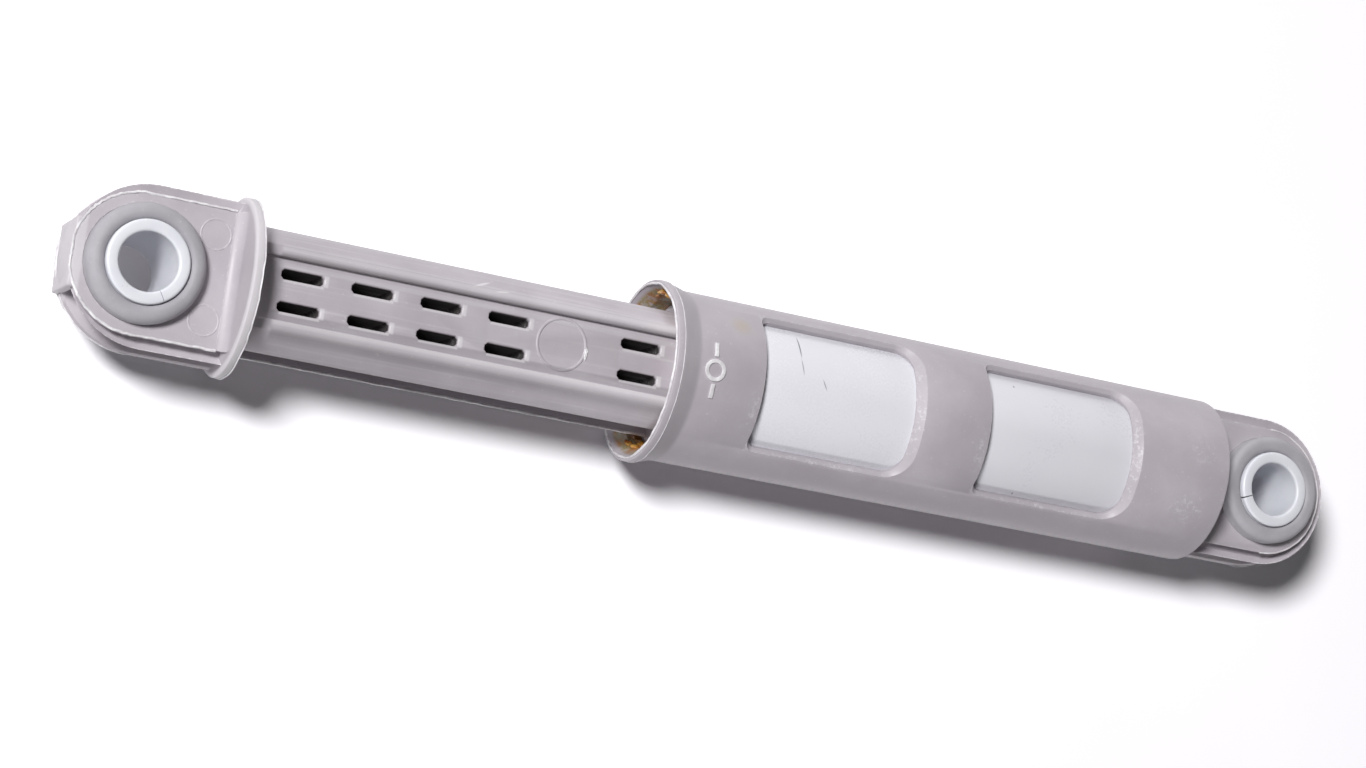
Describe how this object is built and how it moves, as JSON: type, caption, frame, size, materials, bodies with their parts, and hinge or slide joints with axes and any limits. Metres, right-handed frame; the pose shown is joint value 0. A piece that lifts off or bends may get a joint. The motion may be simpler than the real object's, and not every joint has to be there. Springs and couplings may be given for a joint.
{
  "type": "washing machine friction damper",
  "caption": "Slim friction damper: a round windowed tube and a sliding ribbed rod, each ending in a rubber-bushed eye, that calms a washing machine's tub.",
  "frame": {"origin": "centre of the bore in the tube's eye", "axes": "+X along the damper towards the rod's eye, +Z along both eyes' bores, +Y across"},
  "size_m": [0.2913, 0.0384, 0.0384],
  "materials": {
    "moulded_grey": "satin moulded plastic, warm grey",
    "liner_white": "smooth white plastic",
    "bush_rubber": "matt grey rubber",
    "sleeve_white": "satin white plastic",
    "greased_foam": "foam soaked with amber grease"
  },
  "bodies": {
    "housing": {"tube_housing": "moulded_grey", "inner_liner": "liner_white", "tube_eye_bush": "bush_rubber", "tube_eye_sleeve": "sleeve_white"},
    "foam": {"friction_foam": "greased_foam"},
    "rod": {"piston_rod": "moulded_grey", "rod_eye_bush": "bush_rubber", "rod_eye_sleeve": "sleeve_white"}
  },
  "joints": [
    {"name": "rod_slide", "type": "slide", "parent": "housing", "child": "foam", "axis": [1, 0, 0], "range_m": [-0.087, 0]},
    {"name": "rod_turn", "type": "hinge", "parent": "foam", "child": "rod", "pos_m": [0.14, 0, 0], "axis": [1, 0, 0], "continuous": true}
  ]
}
